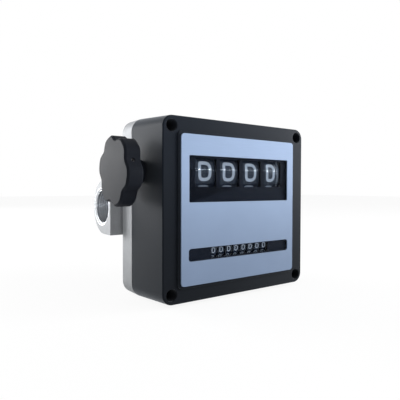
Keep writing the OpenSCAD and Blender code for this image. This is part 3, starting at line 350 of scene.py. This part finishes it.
def plate_finish(colour):
    """Satin metal plate, drawn sideways, with painted light towards its top and painted shade towards its foot."""
    f = Finish("label_metal", colour, 0.5, metallic=0.05)
    f.set("Specular IOR Level", 0.15)
    hair, cloud = f.noise(0.35 * MM, 2, (40, 1, 1)), f.noise(30 * MM, 2)
    # Painted light and shade: the colour runs from about 0.62 of itself at the foot to about 1.16 at the top, with
    # a little cloud mixed in.
    height = f.axes()[2].between(17 * MM, 137 * MM)
    tone = f.blend(height * 0.85 + cloud * 0.15, shade(colour, 0.62), shade(colour, 1.16))
    f.set("Base Color", f.blend(hair.between(0.35, 0.75) * 0.15, tone, shade(colour, 0.8)))
    f.set("Roughness", 0.42 + hair * 0.16)
    f.relief(hair, 0.004 * MM, 0.15 * MM)
    return f.material


def metal_finish(name, colour, roughness, drawn=(1, 1, 1), depth=0.006 * MM):
    """Bare or plated metal with tool marks along one direction."""
    f = Finish(name, colour, roughness, metallic=1.0)
    marks, cloud = f.noise(0.4 * MM, 2, drawn), f.noise(12 * MM, 3)
    worn = f.edges(0.25 * MM)
    f.set("Base Color", f.blend(cloud * 0.7 + worn * 0.3, shade(colour, 0.86), shade(colour, 1.12)))
    f.set("Roughness", roughness - 0.08 + marks * 0.14 + cloud * 0.06)
    f.relief(marks, depth, 0.15 * MM)
    return f.material


def rubber_finish():
    """Seal rubber with a grey bloom in places."""
    f = Finish("seal_rubber", (0.02, 0.02, 0.021), 0.62)
    bloom = f.noise(3 * MM, 3)
    f.set("Base Color", f.blend(bloom.between(0.45, 0.8), (0.015, 0.015, 0.016), (0.04, 0.04, 0.042)))
    f.set("Roughness", 0.55 + bloom * 0.2)
    f.relief(f.noise(0.2 * MM, 2), 0.01 * MM)
    return f.material


def ink_finish(name, colour, roughness, shine=0.5):
    """Printed ink, a little thin in places."""
    f = Finish(name, colour, roughness)
    f.set("Specular IOR Level", shine)
    thin = f.noise(0.9 * MM, 3)
    f.set("Base Color", f.blend(thin.between(0.4, 0.8), shade(colour, 1.08), shade(colour, 0.86)))
    f.set("Roughness", roughness + thin * 0.04)
    f.relief(thin, 0.001 * MM)
    return f.material


def window_finish():
    """Clear pane: light passes straight through and a little is mirrored."""
    f = Finish("window", (0.9, 0.92, 0.95), 0.04, metallic=1.0)
    smear = f.noise(14 * MM, 3)
    f.set("Roughness", 0.03 + smear * 0.05)
    clear = f.node("ShaderNodeBsdfTransparent", None, {"Color": (0.93, 0.95, 0.97, 1.0)})
    grazing = Signal(f, f.node("ShaderNodeLayerWeight", None, {"Blend": 0.5}).outputs["Facing"])
    mixed = f.node("ShaderNodeMixShader", None,
                   {0: grazing ** 5.0 * 0.6 + 0.003, 1: clear.outputs[0], 2: f.shader.outputs[0]})
    f.feed(f.tree.nodes["Material Output"].inputs["Surface"], mixed.outputs[0])
    return f.material


def make_finishes(colours):
    """One material for each slot of the record, and the figures' ink."""
    return {
        "cast_aluminium": cast_finish(tuple(colours.casting)),
        # The cover carries strong painted light at its top and painted shade at its foot.
        "cover_plastic": moulded_finish(
            "cover_plastic", tuple(colours.cover), 0.42, shine=0.062,
            gloss_colour=(0.84, 0.91, 1.0), bloom=0.26, painted_height_light=1.7),
        "knob_plastic": moulded_finish(
            "knob_plastic", tuple(colours.knob), 0.5, ease=0.8 * MM, shine=0.06,
            gloss_colour=(0.86, 0.92, 1.0)),
        "label_metal": plate_finish(tuple(colours.plate)),
        "window": window_finish(),
        "mask_black": ink_finish("mask_black", (0.005, 0.008, 0.016), 0.6, 0.05),
        "wheel_plastic": moulded_finish(
            "wheel_plastic", tuple(colours.wheel), 0.14, depth=0.0005 * MM, shine=0.3,
            gloss_colour=(0.8, 0.9, 1.0)),
        "gear_plastic": moulded_finish("gear_plastic", (0.66, 0.63, 0.55), 0.42),
        "bright_steel": metal_finish("bright_steel", (0.72, 0.72, 0.73), 0.25, (0.3, 12, 12)),
        "plated_steel": metal_finish("plated_steel", (0.60, 0.64, 0.68), 0.36),
        "screw_steel": metal_finish("screw_steel", (0.07, 0.07, 0.075), 0.42),
        "seal_rubber": rubber_finish(),
        "chamber_plastic": moulded_finish("chamber_plastic", (0.10, 0.104, 0.11), 0.5),
        "disc_plastic": moulded_finish("disc_plastic", (0.035, 0.038, 0.044), 0.34),
        "brass": metal_finish("brass", (0.78, 0.57, 0.26), 0.3),
        "figure_ink": ink_finish("figure_ink", tuple(colours.figure), 0.07, 1.0),
    }


# Figures are drawn as centre lines in a box from -1 to 1 each way. A corner with a third
# value is rounded by that share of the box's half width.
ROUND, TIGHT = 0.85, 0.4
HOOK, WAIST = 0.62, 0.06
CORNER_STEPS = 8
MERGED_SHARE = 0.05
STROKES = {
    0: [("ring", [(-1, -1, 0.8), (1, -1, 1), (1, 1, 1), (-1, 1, TIGHT)])],
    1: [("line", [(-0.55, 0.62), (0.15, 1), (0.15, -1)])],
    2: [("line", [(-1, HOOK), (-1, 1, ROUND), (1, 1, ROUND), (1, 0.22, ROUND), (-1, -1), (1, -1)])],
    3: [("line", [(-1, HOOK), (-1, 1, ROUND), (1, 1, ROUND), (1, WAIST, 0.5), (-0.35, WAIST)]),
        ("line", [(-0.35, WAIST), (1, WAIST, 0.5), (1, -1, ROUND), (-1, -1, ROUND), (-1, -HOOK)])],
    4: [("line", [(0.5, -1), (0.5, 1), (-1, -0.42), (1, -0.42)])],
    5: [("line", [(0.9, 1), (-0.85, 1), (-0.95, WAIST), (1, WAIST + 0.1, ROUND), (1, -1, ROUND),
                  (-1, -1, ROUND), (-1, -HOOK)])],
    6: [("ring", [(-1, -1, ROUND), (1, -1, ROUND), (1, WAIST + 0.1, ROUND), (-1, WAIST + 0.1, ROUND)]),
        ("line", [(-1, -0.5), (-1, 1, ROUND), (1, 1, ROUND), (1, HOOK)])],
    7: [("line", [(-1, 1), (1, 1), (-0.3, -1)])],
    8: [("ring", [(-0.9, WAIST, ROUND), (0.9, WAIST, ROUND), (0.9, 1, ROUND), (-0.9, 1, ROUND)]),
        ("ring", [(-1, -1, ROUND), (1, -1, ROUND), (1, WAIST, ROUND), (-1, WAIST, ROUND)])],
    9: [("ring", [(1, 0.8, 1), (-1, 0.8, 1), (-1, -WAIST - 0.1, ROUND), (1, -WAIST - 0.1, ROUND)]),
        ("line", [(1, 0.5), (1, -1, ROUND), (-1, -1, ROUND), (-1, -HOOK)])],
}


def centre_line(stroke, half_width, half_height, step):
    """Points of one stroke, with rounded corners and no gap over the step."""
    kind, corners = stroke
    closed = kind == "ring"
    spots = [Vector((c[0] * half_width, c[1] * half_height)) for c in corners]
    turned = []
    for i, spot in enumerate(spots):
        share = corners[i][2] if len(corners[i]) > 2 else 0
        if not share:
            turned.append(spot)
            continue
        before, after = spots[i - 1] - spot, spots[(i + 1) % len(spots)] - spot
        reach = min(share * half_width, before.length / 2, after.length / 2)
        start, end = spot + before.normalized() * reach, spot + after.normalized() * reach
        for k in range(CORNER_STEPS + 1):
            t = k / CORNER_STEPS
            turned.append(start * (1 - t) ** 2 + spot * 2 * t * (1 - t) + end * t ** 2)
    if closed:
        turned.append(turned[0])
    points = []
    for a, b in zip(turned, turned[1:]):
        pieces = max(1, math.ceil((b - a).length / step))
        points += [a.lerp(b, k / pieces) for k in range(pieces)]
    if not closed:
        points.append(turned[-1])
    apart = [points[0]]
    for point in points[1:]:
        if (point - apart[-1]).length > step * MERGED_SHARE:
            apart.append(point)
    if closed and (apart[-1] - apart[0]).length < step * MERGED_SHARE:
        apart.pop()
    return apart, closed


def add_ribbon(mesh, points, closed, width, ink, rise, place):
    """Closed solid ribbon along the points; place turns (x, y, height) into a position."""
    foot, top = -ink * SUNK_SHARE, ink * rise
    count = len(points)
    rows = []
    for i, point in enumerate(points):
        last = points[i - 1] if closed or i else point
        following = points[(i + 1) % count] if closed or i + 1 < count else point
        before, after = (point - last), (following - point)
        before = before.normalized() if before.length else after.normalized()
        after = after.normalized() if after.length else before
        side = Vector((-before.y - after.y, before.x + after.x)).normalized()
        spread = max(0.5, side.dot(Vector((-before.y, before.x))))
        reach = side * (width / 2 / spread)
        corners = [(point - reach, foot), (point - reach, top), (point + reach, top), (point + reach, foot)]
        rows.append([mesh.verts.new(place(at.x, at.y, height)) for at, height in corners])
    for i in range(count if closed else count - 1):
        row, following = rows[i], rows[(i + 1) % count]
        for k in range(4):
            mesh.faces.new([row[k], row[(k + 1) % 4], following[(k + 1) % 4], following[k]])
    if not closed:
        mesh.faces.new(rows[0][::-1])
        mesh.faces.new(rows[-1])


def finish_piece(name, mesh, material, body):
    """Turns the mesh into a piece that rides on the body."""
    bmesh.ops.recalc_face_normals(mesh, faces=mesh.faces)
    data = bpy.data.meshes.new(name)
    mesh.to_mesh(data)
    mesh.free()
    data.shade_smooth()
    data.set_sharp_from_angle(angle=SMOOTH_ANGLE)
    data.materials.append(material)
    piece = bpy.data.objects.new(name, data)
    bpy.context.scene.collection.objects.link(piece)
    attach(piece, body)


def wheel_place(centre_x, axis, radius, turn):
    """Lays flat figures round a wheel: turn is the angle of their middle above its front."""
    def place(x, y, height):
        angle, reach = turn + y / radius, radius + height
        return Vector((centre_x + x, axis.y - reach * math.cos(angle), axis.z + reach * math.sin(angle)))
    return place


def add_figures(mesh, centre_x, axis, radius, lift, width, height, stroke, ink):
    """The figures 0 to 9 round a wheel, with 0 at its front, turned up by the lift."""
    for figure, strokes in STROKES.items():
        place = wheel_place(centre_x, axis, radius, math.tau * figure / FIGURES + lift)
        for layer, line in enumerate(strokes):
            points, closed = centre_line(line, (width - stroke) / 2, (height - stroke) / 2, stroke / 3)
            add_ribbon(mesh, points, closed, stroke, ink, 1 + layer * LAYER_RISE, place)


def add_scale(mesh, edge_x, axis, radius, sizes):
    """A line round the units wheel with ten graduations to a figure, the figures' own ones long."""
    width, ink = sizes.graduation_width, sizes.ink_height
    for mark in range(FIGURES * FIGURES):
        place = wheel_place(edge_x, axis, radius, math.tau * mark / FIGURES ** 2)
        reach = sizes.graduation_length * (SHORT_GRADUATION_SHARE if mark % FIGURES else 1)
        add_ribbon(mesh, [Vector((-reach, 0)), Vector((-width / 2, 0))], False, width, ink, 1, place)
    ring = [Vector((0, math.tau * radius * k / RING_STEPS)) for k in range(RING_STEPS + 1)]
    place = wheel_place(edge_x, axis, radius, 0)
    add_ribbon(mesh, ring, False, width / 4, ink, RING_RISE, place)


def wheel_axis(body):
    """Point on the axis about which a wheel's body turns."""
    return Vector(next(joint for joint in frame["joints"] if joint["child"] == body)["pos_m"])


def wheel_node(body):
    """CAD node of the wheel on a body."""
    return f"{body}_wheel" if body in COUNTER_RANKS else f"total_wheel_{body[-1]}"


def dress(finishes, *names):
    """Gives CAD nodes the finish of their own slots."""
    for name in names:
        for slot in frame["nodes"][name].material_slots:
            slot.material = finishes[slot.material.name.split(".")[0]]


def groups():
    """CAD nodes by the operator that dresses them."""
    names = set(frame["nodes"])
    chosen = {
        "casting": {"meter_body", "rear_cover", "rear_cover_seal", "rear_cover_screws", "inlet_strainer"},
        "cover": {"cover", "cover_gasket", "cover_screws"},
        "plate": {"label_plate"},
        "windows": {"window_lenses", "digit_masks"},
        "knob": {"reset_knob", "knob_screw", "knob_bush", "knob_seal", "main_shaft"},
        "counter": {wheel_node(body) for body in COUNTER_RANKS},
        "totaliser": {wheel_node(body) for body in TOTAL_RANKS},
    }
    chosen["inside"] = names - set().union(*chosen.values())
    return chosen


class Materials:
    """Finishes shared by the operators, made on first use."""

    made = {}

    @classmethod
    def all(cls, context):
        if not cls.made:
            cls.made.update(make_finishes(context.scene.flow_meter_colours))
        return cls.made


class FLOWMETER_OT_stage(bpy.types.Operator):
    """Makes the floor, the room, the lamps and the camera"""

    bl_idname = "flow_meter.stage"
    bl_label = "Stage"

    def lamp(self, name, power, width, height, place):
        """An area lamp turned towards the meter's middle."""
        data = bpy.data.lights.new(name, "AREA")
        data.energy, data.size = power, width
        if height:
            data.shape, data.size_y = "RECTANGLE", height
        lamp = bpy.data.objects.new(name, data)
        lamp.location = place
        lamp.rotation_euler = (Vector(AIM) - Vector(place)).to_track_quat("-Z", "Y").to_euler()
        bpy.context.scene.collection.objects.link(lamp)

    def backdrop(self, material, share):
        """The share for rays from the camera, off gloss and through glass, and 0 for all others."""
        seen = material.node("ShaderNodeLightPath")
        camera, glossy, glass = (
            Signal(material, seen.outputs[f"Is {ray} Ray"]) for ray in ("Camera", "Glossy", "Transmission"))
        return (camera + glossy + glass) * share

    def execute(self, context):
        scene, studio = context.scene, context.scene.flow_meter_studio
        scene.view_settings.view_transform = "Standard"
        for name, shape in LAMPS.items():
            self.lamp(f"{name}_lamp", getattr(studio, name), *shape)
        self.lay_floor(scene)
        self.light_room(scene, studio.room)
        self.place_camera(scene)
        return {"FINISHED"}

    def lay_floor(self, scene):
        """A white floor that keeps the meter's shadow."""
        mesh = bmesh.new()
        bmesh.ops.create_grid(mesh, x_segments=8, y_segments=8, size=FLOOR_HALF)
        data = bpy.data.meshes.new("floor")
        mesh.to_mesh(data)
        mesh.free()
        floor = bpy.data.objects.new("floor", data)
        floor.location.z = cad_box[0][2] - FLOOR_DROP
        scene.collection.objects.link(floor)
        paint = Finish("floor_paint", (0.86, 0.86, 0.86), 0.7)
        paint.set("Specular IOR Level", 0.1)
        glow = paint.node("ShaderNodeEmission", None, {"Color": (1, 1, 1, 1), "Strength": FLOOR_GLOW})
        mixed = paint.node("ShaderNodeMixShader", None, {
            0: self.backdrop(paint, FLOOR_GLOW_SHARE), 1: paint.shader.outputs[0], 2: glow.outputs[0]})
        paint.feed(paint.tree.nodes["Material Output"].inputs["Surface"], mixed.outputs[0])
        data.materials.append(paint.material)

    def light_room(self, scene, strength):
        """A room that lights at the strength and looks white."""
        scene.world = bpy.data.worlds.new("room")
        scene.world.use_nodes = True
        room = Room(scene.world)
        background = room.tree.nodes["Background"].inputs
        room.feed(background["Color"], (1, 1, 1, 1))
        room.feed(background["Strength"], strength + self.backdrop(room, 1.0) * (1 - strength))

    def place_camera(self, scene):
        """A camera that sees the front and the knob's side, with the lens shifted to frame them."""
        data = bpy.data.cameras.new("camera")
        data.lens, data.sensor_width = LENS, SENSOR
        data.shift_x, data.shift_y = SHIFT_X, SHIFT_Y
        data.clip_start, data.clip_end = 0.01, 20
        camera = bpy.data.objects.new("camera", data)
        ahead = Vector((math.sin(YAW) * math.cos(PITCH), math.cos(YAW) * math.cos(PITCH), -math.sin(PITCH)))
        right = Vector((math.cos(YAW), -math.sin(YAW), 0))
        up = right.cross(ahead)
        right, up = (
            right * math.cos(ROLL) + up * math.sin(ROLL), up * math.cos(ROLL) - right * math.sin(ROLL))
        turn = Matrix((right, up, -ahead)).transposed().to_4x4()
        camera.matrix_world = Matrix.Translation(EYE) @ turn
        scene.collection.objects.link(camera)
        scene.camera = camera


class Room(Finish):
    """The world's nodes, with the same helpers as a material's."""

    def __init__(self, world):
        self.tree = world.node_tree


class FLOWMETER_OT_casting(bpy.types.Operator):
    """Finishes the cast body and its rear cover"""

    bl_idname = "flow_meter.casting"
    bl_label = "Casting"

    def execute(self, context):
        dress(Materials.all(context), *groups()["casting"])
        return {"FINISHED"}


class FLOWMETER_OT_cover(bpy.types.Operator):
    """Finishes the moulded cover and its screws"""

    bl_idname = "flow_meter.cover"
    bl_label = "Cover"

    def execute(self, context):
        dress(Materials.all(context), *groups()["cover"])
        return {"FINISHED"}


class FLOWMETER_OT_plate(bpy.types.Operator):
    """Finishes the face plate"""

    bl_idname = "flow_meter.plate"
    bl_label = "Face plate"

    def execute(self, context):
        dress(Materials.all(context), *groups()["plate"])
        return {"FINISHED"}


class FLOWMETER_OT_windows(bpy.types.Operator):
    """Finishes the panes and the masks behind them"""

    bl_idname = "flow_meter.windows"
    bl_label = "Windows"

    def execute(self, context):
        dress(Materials.all(context), *groups()["windows"])
        return {"FINISHED"}


class FLOWMETER_OT_knob(bpy.types.Operator):
    """Finishes the reset knob and its shaft"""

    bl_idname = "flow_meter.knob"
    bl_label = "Reset knob"

    def execute(self, context):
        dress(Materials.all(context), *groups()["knob"])
        return {"FINISHED"}


class FLOWMETER_OT_counter(bpy.types.Operator):
    """Prints the figures and the graduations on the counter's wheels"""

    bl_idname = "flow_meter.counter"
    bl_label = "Counter figures"

    def execute(self, context):
        finishes, sizes = Materials.all(context), context.scene.flow_meter_sizes
        dress(finishes, *groups()["counter"])
        low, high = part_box(wheel_node("tens"))
        tread = high.x - low.x
        for body in COUNTER_RANKS:
            low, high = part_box(wheel_node(body))
            axis = wheel_axis(body)
            radius = axis.y - low.y
            units = body == COUNTER_RANKS[0]
            centre_x = low.x + tread / 2 + (sizes.units_shift if units else 0)
            mesh = bmesh.new()
            add_figures(mesh, centre_x, axis, radius, COUNTER_LIFT,
                        sizes.units_width if units else sizes.figure_width,
                        sizes.figure_height, sizes.figure_stroke, sizes.ink_height)
            if units:
                add_scale(mesh, low.x + tread - sizes.graduation_inset, axis, radius, sizes)
            finish_piece(f"{body}_figures", mesh, finishes["figure_ink"], body)
        return {"FINISHED"}


class FLOWMETER_OT_totaliser(bpy.types.Operator):
    """Prints the figures on the totaliser's wheels"""

    bl_idname = "flow_meter.totaliser"
    bl_label = "Totaliser figures"

    def execute(self, context):
        finishes, sizes = Materials.all(context), context.scene.flow_meter_sizes
        dress(finishes, *groups()["totaliser"])
        for body in TOTAL_RANKS:
            low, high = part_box(wheel_node(body))
            axis = wheel_axis(body)
            mesh = bmesh.new()
            add_figures(mesh, (low.x + high.x) / 2, axis, axis.y - low.y, TOTAL_LIFT,
                        sizes.total_figure_width, sizes.total_figure_height,
                        sizes.total_figure_stroke, sizes.ink_height)
            finish_piece(f"{body}_figures", mesh, finishes["figure_ink"], body)
        return {"FINISHED"}


class FLOWMETER_OT_inside(bpy.types.Operator):
    """Finishes the gears, shafts, frame and chamber inside"""

    bl_idname = "flow_meter.inside"
    bl_label = "Inside pieces"

    def execute(self, context):
        dress(Materials.all(context), *groups()["inside"])
        return {"FINISHED"}


OPERATORS = (
    FLOWMETER_OT_stage, FLOWMETER_OT_casting, FLOWMETER_OT_cover, FLOWMETER_OT_plate,
    FLOWMETER_OT_windows, FLOWMETER_OT_knob, FLOWMETER_OT_counter, FLOWMETER_OT_totaliser,
    FLOWMETER_OT_inside,
)
GROUPS = {"flow_meter_sizes": Sizes, "flow_meter_colours": Colours, "flow_meter_studio": Studio}


class FLOWMETER_PT_panel(bpy.types.Panel):
    """Sizes, colours and steps of the flow meter"""

    bl_idname = "FLOWMETER_PT_panel"
    bl_label = "Flow Meter"
    bl_space_type = "VIEW_3D"
    bl_region_type = "UI"
    bl_category = "Flow Meter"

    def draw(self, context):
        for group, kind in GROUPS.items():
            box = self.layout.box()
            for name in kind.__annotations__:
                box.prop(getattr(context.scene, group), name)
        for operator in OPERATORS:
            self.layout.operator(operator.bl_idname)


CLASSES = (*GROUPS.values(), *OPERATORS, FLOWMETER_PT_panel)


def register():
    for kind in CLASSES:
        bpy.utils.register_class(kind)
    for name, kind in GROUPS.items():
        setattr(bpy.types.Scene, name, PointerProperty(type=kind))


def unregister():
    for name in GROUPS:
        delattr(bpy.types.Scene, name)
    for kind in reversed(CLASSES):
        bpy.utils.unregister_class(kind)


def main():
    register()
    for operator in OPERATORS:
        group, step = operator.bl_idname.split(".")
        getattr(getattr(bpy.ops, group), step)()


if __name__ == "__main__":
    main()
